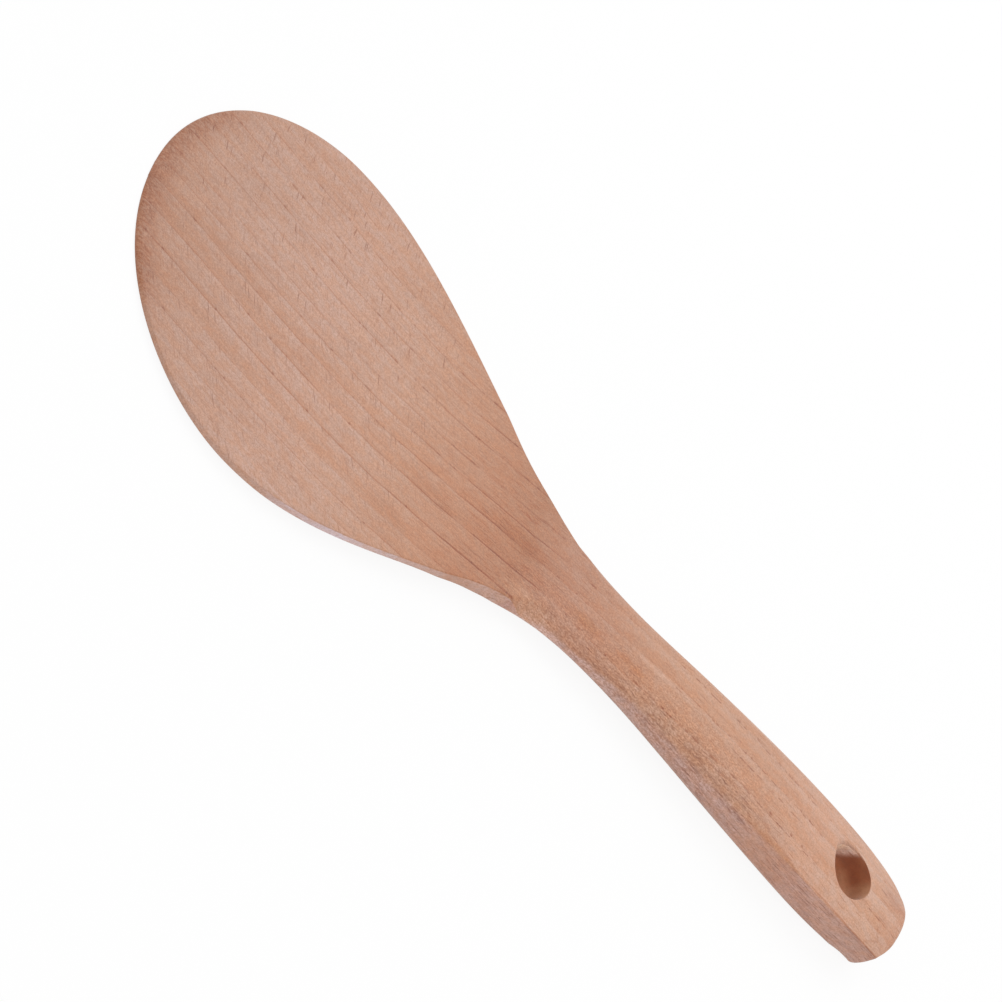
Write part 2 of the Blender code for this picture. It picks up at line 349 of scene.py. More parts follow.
def top_corner(x, half, height, far):
    """Width and height of the rounding along the top's far edge, or its near one."""
    near_tip = max(1.0 - x / TIP_BEVEL_FADES_BY, 0.0)
    cut = min(max((x - SHOULDER_AT) / SHOULDER_LENGTH, 0.0), 1.0) ** SHOULDER_BOW
    oval = max(SHOULDER_DEPTH, height * OVAL_HEIGHT_SHARE)
    if far:
        rounded = ramp(x, TOP_ROUND_FROM, TOP_ROUND_FROM + TOP_ROUND_LENGTH)
        squared = ramp(x, OVAL_UNTIL, ARRIS_FROM)
        width = half * rounded * blend(OVAL_WIDTH_SHARE, END_WIDTH_SHARE, squared)
        depth = cut * blend(oval, height * END_HEIGHT_SHARE, squared)
    else:
        rounded = ramp(x, TOP_ROUND_FROM, TOP_ROUND_FROM + NEAR_ROUND_LENGTH)
        squared = ramp(x, OVAL_UNTIL, NEAR_ARRIS_FROM)
        width = half * rounded * blend(NEAR_WIDTH_SHARE, NEAR_ARRIS_SHARE, squared)
        depth = cut * blend(oval, height * NEAR_ARRIS_SHARE, squared)
    bevel = min(ARRIS_SOFTNESS + TIP_BEVEL_LENGTH * near_tip, half * CORNER_LIMIT)
    depth = max(depth, ARRIS_SOFTNESS + TIP_BEVEL_DROP * near_tip)
    return max(width, bevel), min(depth, height * CORNER_LIMIT)


def under_corner(x, half, height, side_height, squared):
    """Width and height of the rounding, or of the blade's bevel, underneath."""
    edge = blend(TIP_EDGE, BLADE_EDGE, min(x / BLADE_EDGE_FROM, 1.0))
    edge = blend(edge, side_height, ramp(x, EDGE_THICKENS_FROM, SHOULDER_AT))
    rounded = ramp(x, UNDER_ROUND_FROM, UNDER_ROUND_FROM + UNDER_ROUND_LENGTH)
    width_share = blend(UNDER_WIDTH_SHARE, UNDER_END_WIDTH_SHARE, squared)
    height_share = blend(UNDER_HEIGHT_SHARE, UNDER_END_HEIGHT_SHARE, squared)
    swept = ramp(x, NEAR_CORNER_AT - END_SWEEP_LENGTH, NEAR_CORNER_AT)
    height_share = blend(height_share, END_SWEEP_SHARE, swept)
    width = blend(UNDER_BEVEL_WIDTH, width_share * half, rounded)
    depth = blend(side_height - edge, height_share * height, rounded)
    width = min(width, half * BEVEL_LIMIT)
    depth = min(max(depth, side_height * (1 - BEVEL_LIMIT)), side_height * BEVEL_LIMIT)
    return width, depth


def section(x):
    """The cross-section at x, as the values that draw its half outline."""
    inside = min(max(x, CAP_INSET), LENGTH - CAP_INSET)
    near = along(near_side, inside)
    far = along(far_side, inside)
    half = (near + far) / 2
    middle = (far - near) / 2
    tip_bevel = max(1.0 - x / TIP_BEVEL_LENGTH, 0.0)
    top = along(top_line, x) - TIP_BEVEL_DROP * tip_bevel ** 2
    bottom = along(under_line, x)
    height = top - bottom
    rounded = ramp(x, TOP_ROUND_FROM, TOP_ROUND_FROM + TOP_ROUND_LENGTH)
    squared = ramp(x, OVAL_UNTIL, ARRIS_FROM)
    crowned = blend(OVAL_CROWN_SHARE * rounded, 1.0, squared)
    crown = GRIP_CROWN * crowned * min(2 * half / (CROWN_FULL_AT_SHARE * GRIP_WIDTH), 1.0)
    corners = [top_corner(x, half, height, far) for far in (True, False)]
    unders = [under_corner(x, half, height, height - crown - drop, squared) for _, drop in corners]
    return half, middle, top, bottom, crown, corners, unders


def roundness(x):
    """How round the top's edge is: 1, and 0 where the shoulder is cut flat."""
    cut_end = SHOULDER_AT + SHOULDER_LENGTH
    started = ramp(x, SHOULDER_AT, SHOULDER_AT + CREASE_START)
    return 1.0 - started * (1.0 - ramp(x, cut_end, cut_end + CREASE_FADE))


def half_ring(x, side):
    """Half the cross-section on the far side, 0, or the near one, 1, from its top middle."""
    half, middle, top, bottom, crown, corners, unders = section(x)
    corner, under = corners[side], unders[side]
    round_share = roundness(x)
    hollow = (1.0, CREASE_HOLLOW)[side]
    points = []
    for step in range(TOP_STEPS):
        share = step / TOP_STEPS
        points.append((share * (half - corner[0]), top - crown * share ** 2))
    for step in range(CORNER_STEPS + 1):
        share = step / CORNER_STEPS
        turn = math.radians(90) * share
        out = half - corner[0] * (1 - blend(share, math.sin(turn), round_share))
        drop = corner[1] * blend(share ** hollow, 1 - math.cos(turn), round_share)
        points.append((out, top - crown - drop))
    for step in range(UNDER_STEPS + 1):
        turn = math.radians(90) * step / UNDER_STEPS
        out = half - under[0] * (1 - math.cos(turn))
        points.append((out, bottom + under[1] * (1 - math.sin(turn))))
    for step in range(1, FLAT_STEPS + 1):
        points.append(((half - under[0]) * (1 - step / FLAT_STEPS), bottom))
    return middle, points


half_count = TOP_STEPS + CORNER_STEPS + UNDER_STEPS + FLAT_STEPS + 2
sides = 2 * (half_count - 1)
places = [LENGTH * (1 - math.cos(math.pi * index / SLICES)) / 2 for index in range(SLICES + 1)]
corner_slice = min(range(SLICES), key=lambda index: abs(places[index] - NEAR_CORNER_AT))
places[corner_slice] = NEAR_CORNER_AT

# The blank is a bar with one edge for each point of the section, cut into slices
bpy.ops.object.select_all(action="DESELECT")
bpy.ops.mesh.primitive_cylinder_add(
    vertices=sides, radius=1.0, depth=2.0, end_fill_type="NGON", rotation=(0, math.radians(90), 0)
)
body = bpy.context.object
body.name = "spatula_body"
bpy.ops.object.transform_apply(location=True, rotation=True, scale=True)
bpy.ops.object.mode_set(mode="EDIT")
bpy.ops.mesh.select_mode(type="EDGE")
bpy.ops.mesh.select_all(action="DESELECT")
bpy.ops.object.mode_set(mode="OBJECT")
for edge in body.data.edges:
    start, end = (body.data.vertices[index].co for index in edge.vertices)
    edge.select = abs(start.x - end.x) > 1.0
bpy.ops.object.mode_set(mode="EDIT")
bpy.ops.mesh.subdivide_edgering(number_cuts=SLICES - 1, interpolation="LINEAR")
bpy.ops.object.mode_set(mode="OBJECT")

# Each slice is drawn to its section, close together where the ends curve
sections = {}
for vertex in body.data.vertices:
    index = round((vertex.co.x + 1.0) / 2.0 * SLICES)
    if index not in sections:
        sections[index] = (half_ring(places[index], 0), half_ring(places[index], 1))
    (middle, far_points), (_, near_points) = sections[index]
    turn = math.atan2(vertex.co.y, vertex.co.z) % math.tau
    step = round(turn / math.tau * sides) % sides
    if step < half_count:
        y, z = far_points[step]
    else:
        y, z = near_points[sides - step]
        y = -y
    vertex.co = (places[index] + low.x, middle + y, z)

bpy.ops.object.mode_set(mode="EDIT")
bpy.ops.mesh.select_all(action="SELECT")
bpy.ops.mesh.normals_make_consistent(inside=False)
bpy.ops.object.mode_set(mode="OBJECT")


# The hanging hole near the end of the grip is drilled straight through the wood. Its
# rims are sanded, and the upper one is worn: deep and round at the far side towards
# the neck, and cut back with a crisp edge at the far side towards the end.
HOLE_AT = LENGTH - 0.0238
HOLE_ACROSS = 0.0002
HOLE_DIAMETER = 0.0146
HOLE_RIM = 0.0002
SOFT_RIM = 0.0022
SOFT_RIM_DEPTH = 0.0038
SOFT_RIM_FOCUS = 4
SOFT_RIM_TOWARDS = math.radians(138)
CUT_RIM = 0.0009
CUT_RIM_DEPTH = 0.0030
CUT_RIM_TOWARDS = math.radians(28)
DRILL_FLARE = 1.6
DRILL_RISE = 0.9
HOLE_SIDES = 96
RIM_STEPS = 8
LEVELS = RIM_STEPS + 2
SHARP_EDGE = math.radians(30)


def surface_height(x, y):
    """Height of the grip's top at a point within its crown."""
    half, middle, top, _, crown, corners, _ = section(x)
    side = 0 if y > middle else 1
    share = (y - middle) / (half - corners[side][0])
    return top - crown * share ** 2


def rim_profile(width, depth, crisp):
    """Steps round one rim, from clear of the face in to the bore: out, and up."""
    steps = [(width * DRILL_FLARE, min(width, depth) * DRILL_RISE)]
    for step in range(RIM_STEPS + 1):
        share = step / RIM_STEPS
        turn = math.radians(90) * share
        out = width * blend(1 - math.sin(turn), 1 - share, crisp)
        drop = depth * blend(1 - math.cos(turn), share, crisp)
        steps.append((out, -drop))
    return steps


bpy.ops.object.select_all(action="DESELECT")
bpy.ops.mesh.primitive_cylinder_add(
    vertices=HOLE_SIDES, radius=1.0, depth=2.0, end_fill_type="NGON"
)
drill = bpy.context.object
drill.name = "drill"
bpy.ops.object.mode_set(mode="EDIT")
bpy.ops.mesh.select_mode(type="EDGE")
bpy.ops.mesh.select_all(action="DESELECT")
bpy.ops.object.mode_set(mode="OBJECT")
for edge in drill.data.edges:
    start, end = (drill.data.vertices[index].co for index in edge.vertices)
    edge.select = abs(start.z - end.z) > 1.0
bpy.ops.object.mode_set(mode="EDIT")
bpy.ops.mesh.subdivide_edgering(number_cuts=2 * LEVELS, interpolation="LINEAR")
bpy.ops.object.mode_set(mode="OBJECT")
for vertex in drill.data.vertices:
    rank = round((vertex.co.z + 1.0) / 2.0 * (2 * LEVELS + 1))
    turn = math.atan2(vertex.co.y, vertex.co.x)
    radius = HOLE_DIAMETER / 2
    soft = max(math.cos(turn - SOFT_RIM_TOWARDS), 0.0) ** SOFT_RIM_FOCUS
    cut = max(math.cos(turn - CUT_RIM_TOWARDS), 0.0) ** 2 * (1 - soft)
    width = blend(blend(HOLE_RIM, SOFT_RIM, soft), CUT_RIM, cut)
    depth = blend(blend(HOLE_RIM, SOFT_RIM_DEPTH, soft), CUT_RIM_DEPTH, cut)
    top_rim = rim_profile(width, depth, cut)
    under_rim = rim_profile(HOLE_RIM, HOLE_RIM, 0.0)
    edge_x = HOLE_AT + (radius + width) * math.cos(turn)
    edge_y = HOLE_ACROSS + (radius + width) * math.sin(turn)
    rim_top = surface_height(edge_x, edge_y)
    if rank == 0:
        out, z = under_rim[0][0], -GRIP_HEIGHT
    elif rank <= LEVELS:
        out, fall = under_rim[rank - 1]
        z = -fall
    elif rank <= 2 * LEVELS:
        out, fall = top_rim[2 * LEVELS - rank]
        z = rim_top + fall
    else:
        out, z = top_rim[0][0], 2 * GRIP_HEIGHT
    reach = radius + out
    vertex.co = (HOLE_AT + low.x + reach * math.cos(turn), HOLE_ACROSS + reach * math.sin(turn), z)

bpy.ops.object.select_all(action="DESELECT")
body.select_set(True)
bpy.context.view_layer.objects.active = body
drilling = body.modifiers.new("hanging_hole", "BOOLEAN")
drilling.operation = "DIFFERENCE"
drilling.solver = "EXACT"
drilling.object = drill
bpy.ops.object.modifier_apply(modifier=drilling.name)
bpy.data.objects.remove(drill)
bpy.ops.object.shade_smooth_by_angle(angle=SHARP_EDGE)

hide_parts("spatula")
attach(body, "root")


# The wood is bare sanded beech, cut nearly along its rays. Growth rings run down the
# face as thin brown lines that spread towards the tip, and the rays cross the blade as
# short flecks. Where the grip climbs, the fibres are cut short and look darker.
beech = bpy.data.materials.new("beech_wood")
beech.use_nodes = True
wood = beech.node_tree
bare_wood = wood.nodes["Principled BSDF"]


def add(kind, **settings):
    """A node of the beech, with its settings."""
    node = wood.nodes.new("ShaderNode" + kind)
    for name, value in settings.items():
        setattr(node, name, value)
    return node


def feed(socket, value):
    """Joins a socket to another node's output, or gives it a plain value."""
    if isinstance(value, bpy.types.NodeSocket):
        wood.links.new(value, socket)
    else:
        socket.default_value = value


def calc(operation, *values):
    node = add("Math", operation=operation)
    for socket, value in zip(node.inputs, values):
        feed(socket, value)
    return node.outputs["Value"]


def product(first, *others):
    """Several masks or values multiplied together."""
    for other in others:
        first = calc("MULTIPLY", first, other)
    return first


def step_between(value, start, end, low_result=0.0, high_result=1.0):
    """Passes softly from one result to the other as a value goes from start to end."""
    node = add("MapRange", interpolation_type="SMOOTHSTEP")
    for name, plain in (("Value", value), ("From Min", start), ("From Max", end)):
        feed(node.inputs[name], plain)
    feed(node.inputs["To Min"], low_result)
    feed(node.inputs["To Max"], high_result)
    return node.outputs["Result"]


def place(along_it, across_it, deep=0.0, size=(1.0, 1.0, 1.0)):
    """A place on the wood, measured in steps of a size in millimetres."""
    node = add("CombineXYZ")
    for socket, value, step in zip(node.inputs, (along_it, across_it, deep), size):
        feed(socket, calc("DIVIDE", value, step))
    return node.outputs["Vector"]


def mottle(where, detail=2.0, roughness=0.5):
    """Soft noise, about 0.5 in the middle, with spots of one step."""
    node = add("TexNoise", noise_dimensions="3D")
    feed(node.inputs["Vector"], where)
    node.inputs["Scale"].default_value = 1.0
    node.inputs["Detail"].default_value = detail
    node.inputs["Roughness"].default_value = roughness
    return node.outputs["Fac"]


def flecks(where, share):
    """Scattered spots just under one step long, in a share of all the places."""
    node = add("TexVoronoi", voronoi_dimensions="3D", feature="F1")
    feed(node.inputs["Vector"], where)
    node.inputs["Scale"].default_value = 1.0
    node.inputs["Randomness"].default_value = 1.0
    lot = add("SeparateColor")
    feed(lot.inputs["Color"], node.outputs["Color"])
    chosen = calc("GREATER_THAN", lot.outputs["Red"], 1.0 - share)
    depth = step_between(node.outputs["Distance"], 0.44, 0.18)
    strength = calc("MULTIPLY_ADD", lot.outputs["Green"], 0.6, 0.4)
    return product(chosen, depth, strength)


def patch(middle, reach):
    """A soft oval patch, with its middle and reach in millimetres."""
    node = add("VectorMath", operation="DISTANCE")
    feed(node.inputs[0], place(frayed_x, frayed_y, 0.0, (*reach, 1.0)))
    node.inputs[1].default_value = (middle[0] / reach[0], middle[1] / reach[1], 0.0)
    return step_between(node.outputs["Value"], 1.0, 0.25)


def scratch(start, end, width):
    """A thin straight mark between two places, all in millimetres."""
    span = (end[0] - start[0], end[1] - start[1])
    from_x = calc("SUBTRACT", x, start[0])
    from_y = calc("SUBTRACT", y, start[1])
    reached = calc("MULTIPLY_ADD", from_x, span[0], calc("MULTIPLY", from_y, span[1]))
    reached = calc("DIVIDE", reached, span[0] ** 2 + span[1] ** 2)
    reached = calc("MINIMUM", calc("MAXIMUM", reached, 0.0), 1.0)
    off_x = calc("MULTIPLY_ADD", reached, -span[0], from_x)
    off_y = calc("MULTIPLY_ADD", reached, -span[1], from_y)
    off = calc("SQRT", calc("ADD", product(off_x, off_x), product(off_y, off_y)))
    return step_between(off, width, width * 0.2)


def stained(colour, stain, amount=1.0):
    """A colour with a stain over it, by an amount from 0 to 1."""
    node = add("Mix", data_type="RGBA", blend_type="MULTIPLY")
    feed(node.inputs[0], amount)
    feed(node.inputs[6], colour)
    feed(node.inputs[7], stain)
    return node.outputs[2]


def mixed(first, second, amount):
    node = add("Mix", data_type="RGBA", blend_type="MIX")
    feed(node.inputs[0], amount)
    feed(node.inputs[6], first)
    feed(node.inputs[7], second)
    return node.outputs[2]


def drawn_curve(value, points, handles="AUTO_CLAMPED"):
    """A curve drawn through points, of a value from 0 to 1."""
    node = add("FloatCurve")
    curve = node.mapping.curves[0]
    for at, height in points[1:-1]:
        curve.points.new(at, height)
    for index, (at, height) in enumerate(points):
        curve.points[index].location = (at, height)
        curve.points[index].handle_type = handles
    node.mapping.update()
    feed(node.inputs["Value"], value)
    return node.outputs["Value"]


def tone(red, green, blue):
    """A colour as a screen shows it, from 0 to 255, for a shader."""
    def linear(value):
        value /= 255
        return value / 12.92 if value <= 0.04045 else ((value + 0.055) / 1.055) ** 2.4
    return (linear(red), linear(green), linear(blue), 1.0)


# Places on the wood in millimetres, along from the tip and across from the middle
where = add("TexCoord")
ruler = add("Mapping")
ruler.inputs["Location"].default_value = (-1000 * low.x, 0, 0)
ruler.inputs["Scale"].default_value = (1000, 1000, 1000)
feed(ruler.inputs["Vector"], where.outputs["Object"])
spot = add("SeparateXYZ")
feed(spot.inputs["Vector"], ruler.outputs["Vector"])
x, y, z = spot.outputs["X"], spot.outputs["Y"], spot.outputs["Z"]
facing = add("SeparateXYZ")
feed(facing.inputs["Vector"], add("NewGeometry").outputs["True Normal"])
face_up = calc("ABSOLUTE", facing.outputs["Z"])
fray = mottle(place(x, y, z, (2.6, 1.5, 1.5)), detail=3.0, roughness=0.65)
frayed_x = calc("MULTIPLY_ADD", fray, 8.0, calc("SUBTRACT", x, 4.0))
frayed_y = calc("MULTIPLY_ADD", fray, 3.0, calc("SUBTRACT", y, 1.5))

# Each ring line's standing off from a straight one, in millimetres along the length.
# The lines fan out on the far side of the blade, and draw apart again on the grip.
RULED_FROM = -20.0
RULED_LENGTH = 340.0
RING_BOW = (
    (-20, 6.8), (0, 5.15), (15, 3.95), (31, 2.35), (46, 0.85), (62, -0.1), (72, -0.55), (85, -0.85),
    (93, -0.6), (100, -0.05), (110, 0.5), (120, 1.5), (130, 2.7), (142, 3.9), (150, 5.0),
    (156, 5.5), (170, 5.9), (200, 6.0), (255, 6.0), (275, 6.6), (300, 7.0), (320, 7.0),
)
FAR_FAN = (
    (-20, 0.02), (0, 0.03), (15, 0.05), (30, 0.055), (46, 0.055), (62, 0.025), (76, 0.0),
    (92, -0.012), (108, -0.042), (125, -0.036), (142, -0.018), (160, 0.0), (320, 0.0),
)
BOW_SCALE = 10.0
FAN_SCALE = 0.1
GRIP_FAN = 0.115
RING_TILT = -0.13
ruled = calc("DIVIDE", calc("SUBTRACT", x, RULED_FROM), RULED_LENGTH)
bow_points = [((at - RULED_FROM) / RULED_LENGTH, height / BOW_SCALE) for at, height in RING_BOW]
fan_points = [((at - RULED_FROM) / RULED_LENGTH, height / FAN_SCALE) for at, height in FAR_FAN]
bow = calc("MULTIPLY", drawn_curve(ruled, bow_points), BOW_SCALE)
fan = product(drawn_curve(ruled, fan_points), FAN_SCALE, calc("MAXIMUM", y, 0.0))
fan = calc("ADD", fan, product(step_between(x, 150.0, 190.0), GRIP_FAN, y))
drift = calc("MULTIPLY_ADD", mottle(place(x, y, 0.3, (55, 18, 1))), 1.0, -0.5)
wobble = calc("MULTIPLY_ADD", mottle(place(x, y, 0.0, (6, 2.5, 1)), detail=3.0), 0.5, -0.25)
straight = calc("SUBTRACT", calc("MULTIPLY_ADD", z, RING_TILT, y), calc("ADD", bow, fan))
across = calc("ADD", straight, calc("ADD", drift, wobble))

# The rings from the far edge of the board to the near one: where each ring's line of
# late wood lies, how dark it is, and how warm the ring's own wood is.
RINGS = (
    (48.5, 0.2, 0.3), (41.6, 0.35, 0.4), (34.8, 0.6, 0.65), (27.3, 0.75, 0.2), (20.1, 0.8, 0.2),
    (12.9, 0.85, 0.2), (4.7, 0.6, 0.25), (-1.2, 1.0, 0.35), (-7.3, 0.8, 0.8), (-15.0, 1.05, 0.95),
    (-22.95, 1.3, 0.35), (-30.8, 0.25, 1.0), (-36.9, 0.9, 0.5), (-43.0, 0.45, 0.4), (-50.0, 0.3, 0.4),
)
RING_COUNT = len(RINGS) + 1
RING_WIDTH = 7.0
BOARD = 120.0
DARKEST_LINE = 1.5
ring_steps = [(0.0, 1.0)]
line_marks = [(0.0, 0.2)]
band_marks = [(0.0, 0.4)]
for count, (edge, darkness, warmth) in enumerate(reversed(RINGS), start=1):
    beyond = RINGS[-count - 1][0] if count < len(RINGS) else edge + RING_WIDTH
    ring_steps.append((edge / BOARD + 0.5, 1.0 - count / RING_COUNT))
    line_marks.append((edge / BOARD + 0.5, darkness / DARKEST_LINE))
    band_marks.append(((edge + beyond) / 2 / BOARD + 0.5, warmth))
ring_steps.append((1.0, 0.0))
line_marks.append((1.0, 0.2))
band_marks.append((1.0, 0.4))
board = calc("MULTIPLY_ADD", across, 1.0 / BOARD, 0.5)
ring = calc("MULTIPLY", drawn_curve(board, ring_steps, "VECTOR"), RING_COUNT)
grown = calc("FRACT", ring)
year = calc("FLOOR", ring)

# Early wood is pale and pinkish, and warms towards the late wood
EARLY_WOOD = (1.02, 1.055, 1.10, 1.0)
WARM_WOOD = (0.975, 0.89, 0.80, 1.0)
warming = product(step_between(grown, 0.02, 0.75), step_between(grown, 1.05, 0.88, 0.6, 1.0))
warm = product(drawn_curve(board, band_marks), warming)
ring_tint = mixed(EARLY_WOOD, WARM_WOOD, warm)

# The line of late wood, in short beads, strongest where the grip climbs
LATE_WOOD = (0.83, 0.65, 0.52, 1.0)
LATE_WOOD_AT_SHOULDERS = (0.68, 0.45, 0.31, 1.0)
BEAD = (0.72, 0.55, 0.45, 1.0)
at_shoulders = product(step_between(x, 86.0, 128.0), step_between(x, 160.0, 148.0))
on_grip = step_between(x, 147.0, 158.0)
line = step_between(grown, calc("MULTIPLY_ADD", at_shoulders, -0.03, 0.925), 0.975)
ring_places = place(x, calc("MULTIPLY", year, 3.7), 0.0, (13, 1, 1))
broken = step_between(mottle(ring_places, detail=4.0, roughness=0.62), 0.34, 0.6, 0.3, 1.0)
dotted = step_between(mottle(place(x, calc("MULTIPLY", year, 5.3), 0.0, (3.2, 1, 1))), 0.46, 0.6)
broken = calc("MULTIPLY", broken, calc("MULTIPLY_ADD", on_grip, calc("SUBTRACT", dotted, 1.0), 1.0))
darkness = product(drawn_curve(board, line_marks, "VECTOR"), DARKEST_LINE)
on_face = step_between(face_up, 0.72, 0.92)
line_strength = product(line, broken, darkness, on_face, calc("MULTIPLY_ADD", on_grip, -0.4, 1.0))
late = mixed(LATE_WOOD, LATE_WOOD_AT_SHOULDERS, at_shoulders)
bead_places = place(x, calc("MULTIPLY", year, 7.1), 0.0, (2.2, 1, 1))
beads = step_between(mottle(bead_places, detail=1.0), 0.6, 0.7)
beads = product(beads, step_between(grown, 0.88, 0.95), darkness, on_face)

# Colour along the length
LENGTHWISE = (
    (0.0, (181, 132, 105)), (0.02, (184, 137, 111)), (0.09, (190, 146, 123)), (0.2, (196, 151, 128)),
    (0.29, (196, 150, 125)), (0.34, (194, 144, 115)), (0.39, (190, 136, 104)), (0.43, (185, 128, 94)),
    (0.475, (179, 122, 88)), (0.53, (185, 132, 104)), (0.58, (190, 137, 108)), (0.63, (195, 145, 116)),
    (0.68, (199, 149, 119)), (0.8, (200, 150, 121)), (0.87, (205, 155, 127)), (0.96, (205, 158, 131)),
    (1.0, (199, 148, 120)),
)
lengthwise = add("ValToRGB")
ramp_colours = lengthwise.color_ramp.elements
for at, colour in LENGTHWISE[1:-1]:
    ramp_colours.new(at).color = tone(*colour)
ramp_colours[0].color = tone(*LENGTHWISE[0][1])
ramp_colours[-1].color = tone(*LENGTHWISE[-1][1])
feed(lengthwise.inputs["Fac"], calc("DIVIDE", x, 1000 * LENGTH))

# Rays cross the blade as slanting flecks that start at the ring lines, and show as
# dashes along the grip, where they are cut end on
RAY = (0.60, 0.41, 0.31, 1.0)
FAINT_RAY = (0.82, 0.67, 0.57, 1.0)
FINE_RAY = (0.86, 0.75, 0.66, 1.0)
DASH = (0.72, 0.54, 0.42, 1.0)
FLANK_DASH = (0.58, 0.43, 0.36, 1.0)
FLANK_STREAK = (0.82, 0.76, 0.74, 1.0)
RAY_SLANT = 0.42
RAY_BEND = -0.0035
bent = calc("MULTIPLY_ADD", calc("MULTIPLY", y, y), RAY_BEND, calc("MULTIPLY", y, RAY_SLANT))
ripple = calc("MULTIPLY_ADD", mottle(place(x, y, z, (3, 3, 1))), 1.0, -0.5)
slant = calc("ADD", calc("ADD", x, bent), ripple)
on_blade = product(step_between(x, 122.0, 92.0), step_between(face_up, 0.7, 0.95))
from_line = step_between(grown, 0.9, 0.15, 0.25, 1.0)
rays = product(flecks(place(slant, y, z, (0.54, 5.2, 2.0)), 0.17), on_blade, from_line)
faint_rays = product(flecks(place(slant, y, z, (0.40, 2.7, 2.0)), 0.55), on_blade, from_line)
fine_rays = product(flecks(place(slant, y, calc("ADD", z, 9.0), (0.36, 1.9, 2.0)), 0.55), on_blade)
off_blade = step_between(x, 95.0, 140.0)
near_flank = product(step_between(y, -7.0, -11.5), step_between(x, 160.0, 182.0))
near_flank = product(near_flank, step_between(x, 266.0, 235.0))
end_flank = product(step_between(facing.outputs["Y"], -0.7, -0.95), step_between(x, 230.0, 262.0))
near_flank = calc("MAXIMUM", near_flank, end_flank)
dash_y = calc("ADD", y, ripple)
dashes = product(flecks(place(x, dash_y, z, (7.5, 0.40, 0.6)), 0.16), off_blade)
long_dashes = product(flecks(place(x, dash_y, z, (9.5, 0.40, 0.5)), 0.34), near_flank)
short_dashes = product(flecks(place(x, dash_y, z, (3.6, 0.36, 0.4)), 0.36), near_flank)
flank_dashes = calc("MAXIMUM", long_dashes, short_dashes)
flank_streaks = step_between(mottle(place(x, y, z, (10, 0.7, 0.7)), detail=2.0), 0.48, 0.66)
flank_streaks = product(flank_streaks, near_flank)

# A few broken rows of dark pores run down the grip: how far across, from where to where
ROWS = (
    (7.3, 196, 258), (0.6, 204, 262), (-2.0, 224, 252),
    (-8.4, 186, 264), (-4.0, 283, 299), (5.0, 287, 299),
)
ROW_FADE = 4
PORE_ROW = (0.66, 0.48, 0.38, 1.0)
row_y = calc("MULTIPLY_ADD", wobble, 2.0, y)
rows = 0.0
for row, start, end in ROWS:
    off_row = calc("ABSOLUTE", calc("SUBTRACT", row_y, row))
    begun = step_between(x, start - ROW_FADE, start + ROW_FADE)
    unfinished = step_between(x, end + ROW_FADE, end - ROW_FADE)
    on_row = product(step_between(off_row, 0.34, 0.08), begun, unfinished)
    rows = calc("MAXIMUM", on_row, rows)
row_dots = step_between(mottle(place(x, y, 0.0, (2.6, 4.0, 1)), detail=2.0), 0.46, 0.58)
rows = product(rows, row_dots, step_between(face_up, 0.6, 0.9))

# Fine fibres and pores, and soft cloudy patches
FIBRE = (0.90, 0.85, 0.80, 1.0)
SHOULDER_FIBRE = (0.83, 0.67, 0.54, 1.0)
GRAIN = ((0.85, 0.80, 0.76, 1.0), (1.14, 1.19, 1.23, 1.0))
PORES = ((0.79, 0.70, 0.63, 1.0), (1.20, 1.27, 1.34, 1.0))
WARM_AND_COOL = ((1.01, 0.965, 0.915, 1.0), (0.99, 1.035, 1.095, 1.0))
CLOUD = (0.955, 0.935, 0.915, 1.0)
fibres = mottle(place(x, across, z, (12, 0.5, 1.2)), detail=3.0, roughness=0.6)
fibres = step_between(fibres, 0.42, 0.72)
short_fibres = mottle(place(x, across, z, (4.5, 0.38, 0.8)), detail=3.0, roughness=0.6)
short_fibres = product(step_between(short_fibres, 0.5, 0.72), at_shoulders)
grain = mottle(place(x, y, z, (0.50, 0.42, 0.42)), detail=2.0, roughness=0.75)
grain = step_between(grain, 0.28, 0.72)
hue = step_between(mottle(place(x, y, z, (3.0, 1.8, 1.8)), detail=1.0), 0.32, 0.68)
cloud = step_between(mottle(place(x, y, z, (22, 7, 7)), detail=2.0), 0.4, 0.7)
pores = mottle(place(x, y, z, (0.85, 0.36, 0.36)), detail=2.0, roughness=0.7)
pores = step_between(pores, 0.3, 0.7)
rough_neck = product(step_between(x, 128.0, 160.0), step_between(x, 262.0, 215.0))
rough_neck = product(rough_neck, step_between(y, 6.0, -9.0))

# The tip is darker and blotched where it was sanded thin. Its line is the sawn outline:
# how far back the blade's end lies at each distance from the middle, in millimetres.
THIN_TIP = (0.72, 0.50, 0.34, 1.0)
TIP_REACH = 60
TIP_STEP = 5
end_line = [(1000 * out, 1000 * behind) for behind, out in sawn_outline() if behind <= BLADE_WIDEST_AT]
end_places = [(at, along(end_line, at)) for at in range(0, TIP_REACH, TIP_STEP)]
tip_points = [(at / TIP_REACH, behind / TIP_REACH) for at, behind in end_places]
from_middle = calc("ABSOLUTE", y)
tip_edge = drawn_curve(calc("DIVIDE", from_middle, TIP_REACH), tip_points)
from_tip = calc("SUBTRACT", x, calc("MULTIPLY", tip_edge, TIP_REACH))
blotch = mottle(place(x, y, z, (1.5, 0.8, 1)), detail=3.0, roughness=0.75)
thin_tip = product(
    step_between(from_tip, 10.0, 0.0),
    step_between(from_middle, 40.0, 30.0),
    step_between(blotch, 0.38, 0.62, 0.3, 1.0),
)

